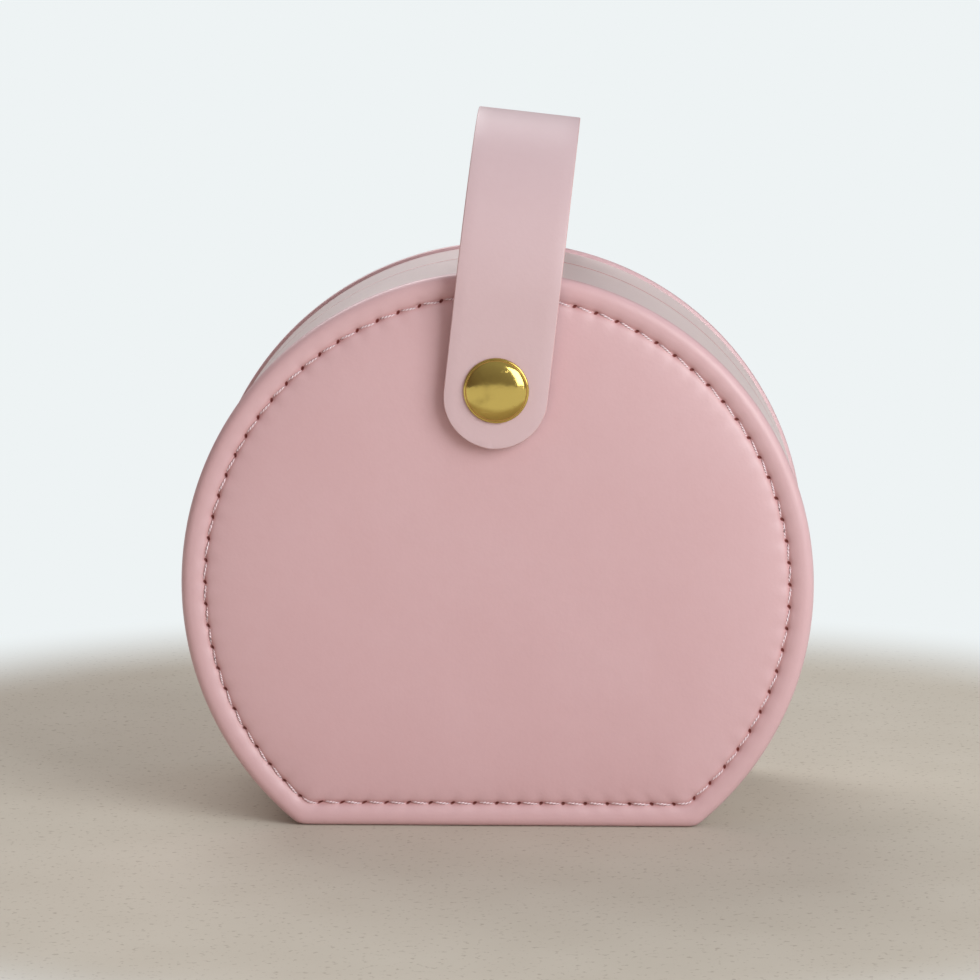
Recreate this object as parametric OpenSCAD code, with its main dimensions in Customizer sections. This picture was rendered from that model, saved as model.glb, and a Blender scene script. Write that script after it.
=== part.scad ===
// Round leather travel case for jewellery. It stands on its flat base, with a strap handle that snaps
// shut over the top. X runs to the right, the front faces -Y and Z is up, in millimetres. The origin is
// the middle of the footprint, on the surface that the case stands on.

/* [Case] */
// Radius of the round outline
case_r = 55; // [52:1:58]
// Height of the outline's centre above the flat base
base_drop = 42.6; // [40.6:0.5:44.6]
// Depth between the front border and the rear border
case_depth = 54; // [52:1:58]
// Depth of the front half, the tray
tray_depth = 33; // [32:0.5:35]
// Radius where the round outline turns into the flat base
corner_r = 4; // [3.5:0.5:5]
// Thickness of the board shells
board_t = 1.6; // [1.4:0.1:1.8]
// Thickness of the leather round the sides
leather_t = 0.8; // [0.6:0.1:1]
// Thickness of the velvet lining
velvet_t = 0.8; // [0.6:0.1:1]

/* [Padded panels] */
// Width of the rolled border, out to in, as far as the stitched groove
border_w = 4.2; // [3.8:0.1:4.6]
// Height of the rolled border over the board
border_h = 2.7; // [2.5:0.1:3]
// Rise of the padded middle over the groove
pad_rise = 2; // [1.8:0.1:2.2]

/* [Strap] */
// Width of the strap
strap_w = 18; // [16:0.2:20]
// Thickness of the strap
strap_t = 1.7; // [1.5:0.1:2]
// Sideways lean of the strap, in degrees
strap_lean = 6.4; // [0:0.4:8]
// Height of the strap's crest over the snap
strap_rise = 45.8; // [44:0.2:50]
// Height of the bend above the rivet that holds the strap's rear end
bend_rise = 7.7; // [7.2:0.1:8.5]

/* [Snap and rivet] */
// Diameter of the snap's cap
snap_d = 11.3; // [10.5:0.1:12]
// Distance of the snap below the top of the case
snap_down = 20; // [19:0.5:22]
// Diameter of the rear rivet's cap
rivet_d = 9; // [8:0.2:10]
// Diameter of the posts that pass through the panels
post_d = 3; // [2.6:0.1:3.4]

/* [Inside] */
// Diameter of the ring rolls
roll_d = 8.8; // [8:0.1:9]
// Half the length of a ring roll
roll_half = 31; // [27:1:33]
// Height of the dividers over the tray's floor
divider_h = 18; // [15:1:20]
// Thickness of the dividers
divider_t = 1.6; // [1.2:0.1:2]
// Distance of the mirror's edge from the outline
mirror_inset = 12; // [10:1:16]
// Thickness of the mirror
mirror_t = 1.8; // [1.4:0.1:2]

/* [Hidden] */

FRONT = -1;
REAR = 1;
$fn = 96;
arc_steps = 48;
corner_steps = 4;
skin = 0.01;
fit = 0.05;
rim_gap = 0.1;
through = 60;

// Layers, as distances in from the outline
band_in = 0.6;
board_in = band_in + leather_t;
lining_in = board_in + board_t;
room_in = lining_in + velvet_t;
// The same layers at the flat base, where the leather touches the surface
base_board = leather_t;
base_lining = base_board + board_t;
base_room = base_lining + velvet_t;

// Padded panels
roll_low = 0.7;
groove_k = 1.6;
pad_reach = 20;
cover_skin = 1;
pad_top = groove_k + pad_rise;
half_board = case_depth / 2 - border_h;

// Snap, from the padded face outward
dimple_r = 6.2;
dimple_deep = 1;
flange_t = 0.5;
flange_d = 8.6;
stud_d = 4.1;
stud_h = 1.2;
neck_d = 3.2;
neck_h = 0.3;
socket_d = 9.6;
socket_t = 1.7;
cap_rise = 1.9;
cap_rim = 0.3;
burr_d = 8;
burr_t = 0.6;
stud_base_k = pad_top - dimple_deep;
socket_k = stud_base_k + flange_t + neck_h;
strap_front_k = socket_k + socket_t;
strap_rear_k = pad_top;
rivet_rise = 1.6;
cap_out = half_board + strap_front_k + strap_t + cap_rise;
rivet_out = half_board + strap_rear_k + strap_t + rivet_rise;
mid_y = (cap_out - rivet_out) / 2;

// Places
top_z = base_drop + case_r;
snap_z = top_z - snap_down;
bend_z = snap_z + bend_rise;
part_y = mid_y - case_depth / 2 + tray_depth;
floor_y = mid_y - half_board + board_t + velvet_t;

// Strap: two upright legs and a half turn over the top
tip_drop = strap_w / 2 + 1.2;
front_leg_y = face(FRONT, strap_front_k + strap_t / 2);
rear_leg_y = face(REAR, strap_rear_k + strap_t / 2);
turn_r = (rear_leg_y - front_leg_y) / 2;
turn_y = (rear_leg_y + front_leg_y) / 2;
turn_z = snap_z + strap_rise - strap_t / 2 - turn_r;
bend_gap = 0.1;

// Tray: the last ring roll ends level with the snap, and the rest follow below it
roll_count = 4;
roll_gap = 0.2;
roll_pitch = roll_d + roll_gap;
first_roll_z = snap_z + roll_gap / 2 - roll_d / 2 - (roll_count - 1) * roll_pitch;
cross_z = first_roll_z - roll_d / 2 - roll_gap - divider_t / 2;
side_x = roll_half + roll_gap + divider_t / 2;

// Hinge, two strips across the parting line at the base
hinge_half_x = flat_half(band_in, 0) * 0.78;
hinge_half_y = 9;
strip_t = 0.6;
strip_z = leather_t - strip_t - fit;
inner_half_x = flat_half(room_in, base_room) - 1;
inner_half_y = 7;
inner_t = 0.5;

// Mirror
frame_w = 4;
frame_t = 2.6;
mirror_corner = 5;

// Y of a plane k outward from the board's outer face, on the front or the rear
function face(out, k) = mid_y + out * (half_board + k);
function rim(out) = part_y + out * rim_gap;

function arc(x, y, r, from, to, steps, first, last) =
    [for (i = [first : last]) let (a = from + (to - from) * i / steps) [x + r * cos(a), y + r * sin(a)]];

function corner_at(inset) = max(corner_r - inset, 1);

// Half the width of the flat base, as far as its round corners
function flat_side(r, drop, corner) = sqrt(pow(r - corner, 2) - pow(drop - corner, 2));
function flat_half(inset, base_inset) =
    flat_side(case_r - inset, base_drop - base_inset, corner_at(inset));

// Outline of the case: a circle cut by the flat base, with a round corner on each side
function arch_points(inset, base_inset, corner) =
    let (
        r = case_r - inset,
        drop = base_drop - base_inset,
        side = flat_side(r, drop, corner),
        turn = atan2(corner - drop, side)
    )
    concat(
        arc(side, base_drop + corner - drop, corner, -90, turn, corner_steps, 0, corner_steps),
        arc(0, base_drop, r, turn, 180 - turn, arc_steps, 1, arc_steps - 1),
        arc(-side, base_drop + corner - drop, corner, 180 - turn, 270, corner_steps, 0, corner_steps)
    );

module arch(inset, base_inset) {
    polygon(arch_points(inset, base_inset, corner_at(inset)));
}

// Extrudes an X-Z outline between two Y planes
module along_y(a, b) {
    translate([0, max(a, b), 0])
        rotate([90, 0, 0])
            linear_extrude(abs(b - a))
                children();
}

// Turns a profile, drawn as [radius, distance outward], about the post of the snap or the rivet
module on_post(out, k) {
    translate([0, face(out, k), snap_z])
        rotate([-90 * out, 0, 0])
            rotate_extrude()
                children();
}

module post_hole(out, d) {
    translate([0, face(out, 0), snap_z])
        rotate([90, 0, 0])
            cylinder(d = d, h = 2 * cap_rise + 2 * dimple_r, center = true);
}

// Leans everything on the strap about the line through the snap and the rivet
module lean() {
    translate([0, 0, snap_z])
        rotate([0, strap_lean, 0])
            translate([0, 0, -snap_z])
                children();
}

// ---- Layers that both halves share

module shell(out) {
    difference() {
        along_y(face(out, 0), rim(out)) arch(board_in, base_board);
        along_y(face(out, -board_t), part_y - out) arch(lining_in, base_lining);
        post_hole(out, post_d + 2 * fit);
        on_post(out, -board_t) square([burr_d / 2 + fit, burr_t]);
    }
}

module band(out) {
    difference() {
        along_y(face(out, 0), rim(out)) arch(band_in, 0);
        along_y(face(out, 1), part_y - out) arch(board_in, base_board);
        translate([-hinge_half_x - fit, part_y - hinge_half_y - fit, -1])
            cube([2 * (hinge_half_x + fit), 2 * (hinge_half_y + fit), 1 + base_board]);
    }
}

module lining(out) {
    difference() {
        along_y(face(out, -board_t), rim(out)) arch(lining_in, base_lining);
        along_y(face(out, -board_t - velvet_t), part_y - out) arch(room_in, base_room);
    }
}

// Rolled border as far as its crown, then the padded middle, as [inset, height over the board]
border_profile = concat(
    [[band_in, skin]],
    [for (a = [0 : 22.5 : 90]) [border_w / 2 * (1 - cos(a)), roll_low + (border_h - roll_low) * sin(a)]]
);
pad_profile = [for (a = [0 : 11.25 : 90]) [border_w + pad_reach * (1 - cos(a)), groove_k + pad_rise * sin(a)]];
foam_profile = concat(
    [[border_w + cover_skin, skin]],
    [for (p = pad_profile) [p[0] + cover_skin, p[1] - cover_skin]]
);

module slice(out, p) {
    along_y(face(out, p[1]), face(out, p[1] - skin)) arch(p[0], p[0]);
}

module stack(out, profile) {
    for (i = [0 : len(profile) - 2])
        hull() {
            slice(out, profile[i]);
            slice(out, profile[i + 1]);
        }
}

module cover(out) {
    difference() {
        union() {
            difference() {
                stack(out, border_profile);
                stack(out, [[border_w / 2, border_h + skin], [border_w, groove_k]]);
            }
            stack(out, pad_profile);
        }
        stack(out, concat([[border_w + cover_skin, -1]], foam_profile));
        post_hole(out, post_d + 2 * fit);
        if (out == FRONT)
            on_post(out, stud_base_k) square([dimple_r, dimple_deep + 1]);
    }
}

module foam(out) {
    difference() {
        stack(out, foam_profile);
        post_hole(out, post_d + 2 * fit);
    }
}

module burr(out) {
    on_post(out, -board_t)
        translate([post_d / 2 + fit, 0])
            square([burr_d / 2 - post_d / 2 - fit, burr_t]);
}

// ---- Front half: the tray

module front_shell() { color("dimgray") shell(FRONT); }
module front_band() { color([0.84, 0.75, 0.74]) band(FRONT); }
module front_pad() { color("ivory") foam(FRONT); }
module front_cover() { color([0.85, 0.70, 0.71]) cover(FRONT); }
module front_lining() { color([0.86, 0.78, 0.77]) lining(FRONT); }

// Velvet roll with a flat foot on the tray's floor
module ring_roll(index) {
    z = first_roll_z + (index - 1) * roll_pitch;
    color([0.88, 0.80, 0.79])
        translate([-roll_half, floor_y, z])
            rotate([90, 0, 90])
                linear_extrude(2 * roll_half) {
                    translate([roll_d / 2, 0]) circle(d = roll_d);
                    translate([0, -roll_d / 2]) square([roll_d / 2, roll_d]);
                }
}

module divider_board() {
    color([0.82, 0.73, 0.72])
        intersection() {
            along_y(floor_y, floor_y + divider_h) arch(room_in, base_room);
            children();
        }
}

module divider_cross() {
    divider_board()
        translate([-case_r, floor_y, cross_z - divider_t / 2])
            cube([2 * case_r, divider_h, divider_t]);
}

module side_divider(side) {
    foot_z = cross_z + divider_t / 2;
    divider_board()
        translate([side * side_x - divider_t / 2, floor_y, foot_z])
            cube([divider_t, divider_h, roll_d / 2 + roll_count * roll_pitch]);
}

module divider_left() { side_divider(-1); }
module divider_right() { side_divider(1); }

module divider_low() {
    divider_board()
        translate([-divider_t / 2, floor_y, 0])
            cube([divider_t, divider_h, cross_z - divider_t / 2]);
}

module snap_stud() {
    post_in = board_t + stud_base_k;
    color("goldenrod")
        on_post(FRONT, -board_t)
            polygon([
                [0, 0],
                [post_d / 2, 0],
                [post_d / 2, post_in],
                [flange_d / 2, post_in],
                [flange_d / 2, post_in + flange_t],
                [neck_d / 2, post_in + flange_t],
                [neck_d / 2, post_in + flange_t + neck_h],
                [stud_d / 2, post_in + flange_t + neck_h + stud_h / 3],
                [stud_d / 2, post_in + flange_t + neck_h + stud_h * 2 / 3],
                [neck_d / 2, post_in + flange_t + neck_h + stud_h],
                [0, post_in + flange_t + neck_h + stud_h]
            ]);
}

module stud_burr() { color("goldenrod") burr(FRONT); }

// ---- Rear half: the lid that carries the mirror and the strap

module rear_shell() { color("dimgray") shell(REAR); }
module rear_band() { color([0.84, 0.75, 0.74]) band(REAR); }
module rear_pad() { color("ivory") foam(REAR); }
module rear_cover() { color([0.85, 0.70, 0.71]) cover(REAR); }
module rear_lining() { color([0.86, 0.78, 0.77]) lining(REAR); }

module mirror_outline(inset) {
    polygon(arch_points(inset, inset, mirror_corner));
}

module mirror_frame() {
    back = face(REAR, -board_t - velvet_t);
    color([0.82, 0.73, 0.72])
        difference() {
            along_y(back - frame_t, back) mirror_outline(mirror_inset - frame_w);
            along_y(back - frame_t - 1, back + 1) mirror_outline(mirror_inset);
        }
}

module mirror_glass() {
    back = face(REAR, -board_t - velvet_t);
    color("lightsteelblue")
        along_y(back - mirror_t, back) mirror_outline(mirror_inset + fit);
}

module hinge_strip() {
    color([0.84, 0.75, 0.74])
        translate([-hinge_half_x, part_y - hinge_half_y, strip_z])
            cube([2 * hinge_half_x, 2 * hinge_half_y, strip_t]);
}

module hinge_lining() {
    color([0.82, 0.73, 0.72])
        translate([-inner_half_x, part_y - inner_half_y, base_room + fit])
            cube([2 * inner_half_x, 2 * inner_half_y, inner_t]);
}

// Upright run of the strap, from one height to another, with a round end where it has a tip
module strap_run(y, low, high) {
    translate([-strap_w / 2, y - strap_t / 2, low])
        cube([strap_w, strap_t, high - low]);
}

module strap_end(y) {
    round_z = snap_z - tip_drop + strap_w / 2;
    difference() {
        union() {
            strap_run(y, round_z, bend_z - bend_gap);
            intersection() {
                translate([0, y, round_z])
                    rotate([90, 0, 0])
                        cylinder(d = strap_w, h = strap_t, center = true);
                strap_run(y, round_z - strap_w, round_z);
            }
        }
        translate([0, y, snap_z])
            rotate([90, 0, 0])
                cylinder(d = post_d + 2 * fit, h = 2 * strap_t, center = true);
    }
}

// Quarter turn of the strap, which starts at an angle counted from straight down, through +Y
module strap_turn(start) {
    translate([0, turn_y, turn_z])
        rotate([0, 90, 0])
            rotate([0, 0, start])
                rotate_extrude(angle = 90)
                    translate([turn_r - strap_t / 2, -strap_w / 2])
                        square([strap_t, strap_w]);
}

module strap_anchor() {
    color([0.84, 0.72, 0.74]) lean() strap_end(rear_leg_y);
}

module rivet_cap() {
    shank = board_t + strap_rear_k + strap_t;
    color("goldenrod")
        on_post(REAR, -board_t) {
            square([post_d / 2, shank + rivet_rise / 2]);
            translate([0, shank]) dome(rivet_d, rivet_rise);
        }
}

module rivet_burr() { color("goldenrod") burr(REAR); }

// ---- Strap and the snap's upper half

module strap_rear() {
    color([0.84, 0.72, 0.74])
        lean() {
            strap_run(rear_leg_y, bend_z, turn_z);
            strap_turn(90);
        }
}

module strap_front() {
    color([0.84, 0.72, 0.74])
        lean() {
            difference() {
                union() {
                    strap_end(front_leg_y);
                    strap_run(front_leg_y, bend_z - 1, turn_z);
                    strap_turn(180);
                }
                translate([-strap_w, turn_y - bend_gap, turn_z])
                    cube([2 * strap_w, strap_t, 2 * turn_r]);
            }
        }
}

// Half profile of a shallow dome with a rolled rim
module dome(d, rise) {
    r = d / 2 - cap_rim;
    ball = (r * r + rise * rise) / (2 * rise);
    intersection() {
        translate([0, rise - ball]) circle(r = ball);
        square([r, rise]);
    }
    intersection() {
        translate([r, cap_rim]) circle(r = cap_rim);
        square([d, 2 * cap_rim]);
    }
    square([r, cap_rim / 2]);
}

module snap_cap() {
    plate = (socket_t - stud_h) / 2;
    color("gold")
        on_post(FRONT, strap_front_k - plate) {
            square([post_d / 2, plate + strap_t + cap_rim]);
            translate([0, plate + strap_t]) dome(snap_d, cap_rise);
        }
}

module snap_socket() {
    plate = (socket_t - stud_h) / 2;
    color("goldenrod")
        on_post(FRONT, socket_k)
            difference() {
                translate([post_d / 2 + fit, 0])
                    square([socket_d / 2 - post_d / 2 - fit, socket_t]);
                square([stud_d / 2 + fit, socket_t - plate]);
            }
}

front_shell();
front_band();
front_pad();
front_cover();
front_lining();
ring_roll(1);  // ring_roll_1
ring_roll(2);  // ring_roll_2
ring_roll(3);  // ring_roll_3
ring_roll(4);  // ring_roll_4
divider_cross();
divider_left();
divider_right();
divider_low();
snap_stud();
stud_burr();
rear_shell();
rear_band();
rear_pad();
rear_cover();
rear_lining();
mirror_frame();
mirror_glass();
hinge_strip();
hinge_lining();
strap_anchor();
rivet_cap();
rivet_burr();
strap_rear();
strap_front();
snap_cap();
snap_socket();
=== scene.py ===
import math
import random

import bmesh
import bpy
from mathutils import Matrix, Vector


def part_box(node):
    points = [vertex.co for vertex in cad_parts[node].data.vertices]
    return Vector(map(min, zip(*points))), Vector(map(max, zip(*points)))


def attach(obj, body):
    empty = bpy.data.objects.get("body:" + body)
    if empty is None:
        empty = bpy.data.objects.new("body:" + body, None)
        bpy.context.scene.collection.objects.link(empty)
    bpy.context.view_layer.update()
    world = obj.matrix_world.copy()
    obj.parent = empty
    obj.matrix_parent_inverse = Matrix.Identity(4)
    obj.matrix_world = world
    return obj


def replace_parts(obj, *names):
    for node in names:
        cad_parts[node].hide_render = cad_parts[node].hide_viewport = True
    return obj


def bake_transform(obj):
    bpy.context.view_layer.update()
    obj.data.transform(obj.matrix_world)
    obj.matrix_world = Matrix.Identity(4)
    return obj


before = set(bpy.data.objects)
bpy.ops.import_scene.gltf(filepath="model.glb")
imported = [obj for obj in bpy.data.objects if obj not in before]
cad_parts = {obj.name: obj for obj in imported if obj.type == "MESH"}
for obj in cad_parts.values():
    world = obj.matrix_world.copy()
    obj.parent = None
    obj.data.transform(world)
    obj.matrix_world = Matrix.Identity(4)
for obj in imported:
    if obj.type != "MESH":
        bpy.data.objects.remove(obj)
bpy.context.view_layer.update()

MM = 0.001


# ---------------------------------------------------------------- Studio
# A pale stone top that fades to a white wall behind, soft daylight from the right, a weak warm
# light low in front, one more lamp behind, and a long lens a little above the case.

def srgb(red, green, blue):
    """A colour given as 0-255 screen values, as linear light."""
    def linear(value):
        value /= 255
        return value / 12.92 if value <= 0.04045 else ((value + 0.055) / 1.055) ** 2.4
    return linear(red), linear(green), linear(blue), 1.0


class Wire:
    """An output socket of a material, so that shader maths reads as an expression."""

    def __init__(self, finish, socket):
        self.finish, self.socket = finish, socket

    def maths(self, operation, *values):
        return self.finish.node("Math", {"operation": operation}, dict(enumerate(values)))

    def __add__(self, other):
        return self.maths("ADD", self, other)

    def __sub__(self, other):
        return self.maths("SUBTRACT", self, other)

    def __rsub__(self, other):
        return self.maths("SUBTRACT", other, self)

    def __mul__(self, other):
        return self.maths("MULTIPLY", self, other)

    def __truediv__(self, other):
        return self.maths("DIVIDE", self, other)

    def __pow__(self, other):
        return self.maths("POWER", self, other)

    __radd__, __rmul__ = __add__, __mul__

    def most(self, other):
        return self.maths("MAXIMUM", self, other)

    def of(self, operation):
        return self.maths(operation, self)

    def band(self, low, high):
        """0 below low and 1 above high, with a smooth step between."""
        settings = {"interpolation_type": "SMOOTHSTEP"}
        return self.finish.node("MapRange", settings, {"Value": self, "From Min": low, "From Max": high})


class Finish:
    """A Principled material. Constant sockets are set straight on the shader."""

    def __init__(self, name, **constants):
        self.material = bpy.data.materials.new(name)
        self.material.use_nodes = True
        self.tree = self.material.node_tree
        self.shader = self.tree.nodes["Principled BSDF"]
        for socket, value in constants.items():
            self.shader.inputs[socket.replace("_", " ")].default_value = value

    def node(self, kind, settings=None, inputs=None, out=0):
        made = self.tree.nodes.new("ShaderNode" + kind)
        for key, value in (settings or {}).items():
            setattr(made, key, value)
        for key, value in (inputs or {}).items():
            self.feed(made.inputs[key], value)
        return Wire(self, made.outputs[out])

    def feed(self, socket, value):
        if isinstance(value, Wire):
            self.tree.links.new(value.socket, socket)
        else:
            socket.default_value = value

    def place(self):
        return self.node("TexCoord", out="Object")

    def coordinate(self, axis):
        """One coordinate of the place, in metres."""
        return self.node("SeparateXYZ", {}, {0: self.place()}, out=axis)

    def uv(self):
        """The two coordinates of the piece's own UV map."""
        spot = self.node("TexCoord", out="UV")
        return [self.node("SeparateXYZ", {}, {0: spot}, out=axis) for axis in "XY"]

    def noise(self, size, detail=2.0, rough=0.5, squeeze=None):
        """Soft noise whose grains are about size metres across, 0 to 1."""
        at = self.place()
        if squeeze:
            at = self.node("Mapping", {}, {"Vector": at, "Scale": squeeze})
        inputs = {"Vector": at, "Scale": 1 / size, "Detail": detail, "Roughness": rough}
        return self.node("TexNoise", {}, inputs)

    def cells(self, size):
        """Distance from the middle of grains about size metres across."""
        return self.node("TexVoronoi", {}, {"Vector": self.place(), "Scale": 1 / size}, out="Distance")

    def mix(self, factor, first, second):
        return self.node("Mix", {"data_type": "RGBA"}, {0: factor, 6: first, 7: second}, out=2)

    def relief(self, *layers):
        """Bumps stacked from (height, depth in metres) pairs, fed to the shader's Normal."""
        bump = None
        for height, depth in layers:
            inputs = {"Height": height, "Distance": depth, "Strength": 1.0}
            if bump:
                inputs["Normal"] = bump
            bump = self.node("Bump", {}, inputs)
        self.set(Normal=bump)

    def set(self, **sockets):
        for socket, value in sockets.items():
            self.feed(self.shader.inputs[socket.replace("_", " ")], value)


STONE, STONE_LIGHT, STONE_SPECK = srgb(192, 183, 170), srgb(202, 194, 182), srgb(120, 100, 85)
WALL = srgb(238, 243, 244)
BLACK = (0, 0, 0, 1)
STONE_R = 3.0
FADE_START, FADE_END = 0.13, 0.19       # from the case, where the stone turns to wall

stone_top = Finish("stone_top", Roughness=0.85, Specular_IOR_Level=0.0)
from_case = stone_top.node("VectorMath", {"operation": "LENGTH"}, {0: stone_top.place()}, out="Value")
speck = stone_top.noise(0.0011, 3.0).band(0.60, 0.68) * 0.30
mottle = stone_top.mix(stone_top.noise(0.02, 4.0), STONE, STONE_LIGHT)
stone_colour = stone_top.mix(speck, mottle, STONE_SPECK)
seen = stone_top.node("LightPath", out="Is Camera Ray")
for kind_of_ray in ("Is Glossy Ray", "Is Transmission Ray"):
    seen = seen.most(stone_top.node("LightPath", out=kind_of_ray))
as_wall = seen * from_case.band(FADE_START, FADE_END)
stone_top.set(Base_Color=stone_top.mix(as_wall, stone_colour, BLACK),
              Emission_Color=stone_top.mix(as_wall, BLACK, WALL), Emission_Strength=1.0)

stone_mesh = bpy.data.meshes.new("stone_top")
stone_bm = bmesh.new()
bmesh.ops.create_circle(stone_bm, cap_ends=True, segments=96, radius=STONE_R)
stone_bm.to_mesh(stone_mesh)
stone_bm.free()
stone = bpy.data.objects.new("stone_top", stone_mesh)
stone_mesh.materials.append(stone_top.material)
bpy.context.scene.collection.objects.link(stone)

world = bpy.data.worlds.new("daylight")
bpy.context.scene.world = world
world.use_nodes = True
tree = world.node_tree

# The sky is dim low on the left and bright high on the right.
SKY_LOW, SKY_HIGH, SKY_LEVEL = (0.42, 0.35, 0.34, 1), (0.95, 0.99, 1.0, 1), 0.44
SKY_SIDE, SKY_FULL = (0.35, -0.25, 0.7), 0.7
where = tree.nodes.new("ShaderNodeTexCoord")
toward = tree.nodes.new("ShaderNodeVectorMath")
toward.operation = "DOT_PRODUCT"
toward.inputs[1].default_value = SKY_SIDE
tree.links.new(where.outputs["Generated"], toward.inputs[0])
ramp = tree.nodes.new("ShaderNodeValToRGB")
ramp.color_ramp.elements[0].position, ramp.color_ramp.elements[0].color = 0.0, SKY_LOW
ramp.color_ramp.elements[1].position, ramp.color_ramp.elements[1].color = SKY_FULL, SKY_HIGH
tree.links.new(toward.outputs["Value"], ramp.inputs[0])
sky = tree.nodes["Background"]
sky.inputs["Strength"].default_value = SKY_LEVEL
tree.links.new(ramp.outputs[0], sky.inputs["Color"])

# Where the lens looks past the stone, it sees the wall.
backdrop = tree.nodes.new("ShaderNodeBackground")
backdrop.inputs["Color"].default_value = WALL
choose = tree.nodes.new("ShaderNodeMixShader")
ray = tree.nodes.new("ShaderNodeLightPath")
tree.links.new(ray.outputs["Is Camera Ray"], choose.inputs[0])
tree.links.new(sky.outputs[0], choose.inputs[1])
tree.links.new(backdrop.outputs[0], choose.inputs[2])
tree.links.new(choose.outputs[0], tree.nodes["World Output"].inputs["Surface"])

# name, place, size, power, colour
LAMPS = [
    ("window", (0.54, -0.56, 0.37), 0.55, 5.6, (0.94, 0.99, 1.0)),
    ("fill", (-0.20, -0.95, 0.06), 0.7, 1.7, (1.0, 0.50, 0.40)),
    ("back", (-0.35, 0.75, 0.85), 0.8, 7.0, (0.98, 0.99, 1.0)),
]
AIM = Vector((0, 0, 0.055))
for lamp_name, lamp_at, lamp_size, lamp_power, lamp_colour in LAMPS:
    lamp_data = bpy.data.lights.new(lamp_name, "AREA")
    lamp_data.size, lamp_data.energy, lamp_data.color = lamp_size, lamp_power, lamp_colour
    lamp = bpy.data.objects.new(lamp_name, lamp_data)
    lamp.location = lamp_at
    lamp.visible_glossy = lamp_name != "fill"
    lamp.rotation_euler = (AIM - Vector(lamp_at)).to_track_quat("-Z", "Y").to_euler()
    bpy.context.scene.collection.objects.link(lamp)

CAMERA_AZ, CAMERA_EL = math.radians(1.6), math.radians(8.8)
CAMERA_AWAY = 0.8
LENS, SENSOR = 169.5, 36.0
SIGHT = Vector((-0.00124, -0.0241, 0.0594))
camera_data = bpy.data.cameras.new("camera")
camera_data.lens, camera_data.sensor_width = LENS, SENSOR
camera = bpy.data.objects.new("camera", camera_data)
camera.location = SIGHT + CAMERA_AWAY * Vector((
    math.sin(CAMERA_AZ) * math.cos(CAMERA_EL),
    -math.cos(CAMERA_AZ) * math.cos(CAMERA_EL),
    math.sin(CAMERA_EL),
))
camera.rotation_euler = (SIGHT - camera.location).to_track_quat("-Z", "Y").to_euler()
bpy.context.scene.collection.objects.link(camera)
bpy.context.scene.camera = camera
bpy.context.scene.view_settings.view_transform = "Standard"


# ---------------------------------------------------------------- Padded covers
# Smooth pink leather over foam and board, one on the front and one on the back. The edge is rolled
# over a cord of foam, and one row of stitches holds it down all round.

CASE_R, BASE_DROP = 55 * MM, 42.6 * MM  # the round side, and its centre's height over the base
CORNER_SHARP = 150                      # higher is a sharper corner between round side and base
LEAST_FALL = 0.05                       # a line from the centre that falls less never meets the base
SNAP_Z = CASE_R + BASE_DROP - 20.0 * MM
FRONT_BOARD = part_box("front_shell")[0][1]
REAR_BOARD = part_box("rear_shell")[1][1]

STITCHES = 81
PER_STITCH = 8                          # columns of the mesh to a stitch
STITCH_IN = 4.2 * MM

# Heights are over the board: the border's roll, the sewn groove, and the padding inside it.
ROLL_W, ROLL_LOW, ROLL_TOP = 2.1 * MM, 0.7 * MM, 2.0 * MM
ROLL_START, ROLL_TURN, ROLL_FLAT = -24, 114, 0.82
GROOVE_H, GROOVE_CURVE = 2.05 * MM, 0.85
FRONT_PAD_H, REAR_PAD_H, PAD_REACH = 2.15 * MM, 1.40 * MM, 23 * MM
PAD_CURVE, PAD_CROWN = 1.15, 0.12 * MM
MIDDLE_R = 30 * MM                      # about the reach of the panel inside the padding's slope
ROLL_ROWS, GROOVE_ROWS, PAD_ROWS, CROWN_ROWS = 14, 10, 20, 13

# Where thread pulls the leather in, all in millimetres: depth, reach across the seam and along it.
HOLE_SINK, PUCKER, BULGE = (0.30, 0.40, 0.55), (0.13, 1.5, 1.1), (0.05, 0.9, 1.0)
BULGE_IN = 1.2
PULL_LEAST, PULL_RANGE = 0.75, 0.5

# The strap's end presses the padding flat round the snap's stud.
STUD_SEAT = 2.55 * MM
DIMPLE_R, DIMPLE_EDGE = 6.9, 0.5


def reach(angle, inset, lift):
    """Distance from the round outline's centre to the outline, inset from its round and flat sides."""
    round_side = CASE_R - inset
    down = -math.sin(angle)
    if down <= LEAST_FALL:
        return round_side
    flat_side = (BASE_DROP - lift) / down
    return round_side / (1 + (round_side / flat_side) ** CORNER_SHARP) ** (1 / CORNER_SHARP)


def outline_point(angle, inset, lift, shrink=1.0):
    away = reach(angle, inset, lift) * shrink
    return away * math.cos(angle), BASE_DROP + away * math.sin(angle)


def even_angles(count, inset, fine=12000):
    """Angles that cut the outline at inset into equal lengths, from the middle of the base."""
    spots = [math.tau * i / fine - math.pi / 2 for i in range(fine + 1)]
    walked = [0.0]
    for first, second in zip(spots, spots[1:]):
        step = math.dist(outline_point(first, inset, inset), outline_point(second, inset, inset))
        walked.append(walked[-1] + step)
    angles, at = [], 0
    for i in range(count):
        goal = walked[-1] * i / count
        while walked[at + 1] < goal:
            at += 1
        part = (goal - walked[at]) / (walked[at + 1] - walked[at])
        angles.append(spots[at] + part * (spots[at + 1] - spots[at]))
    return angles, walked[-1]


SEAM_ANGLES, SEAM_LENGTH = even_angles(STITCHES * PER_STITCH, STITCH_IN)
PITCH = SEAM_LENGTH / STITCHES
SAME_PLACE = 1e-7


def ring_edges(verts):
    new = set(verts)
    return {edge for vert in verts for edge in vert.link_edges if edge.other_vert(vert) in new}


def next_ring(bm, ring):
    """Extrudes a ring of vertices and returns the new ring."""
    grown = bmesh.ops.extrude_edge_only(bm, edges=list(ring_edges(ring)))["geom"]
    return [part for part in grown if isinstance(part, bmesh.types.BMVert)]


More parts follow.
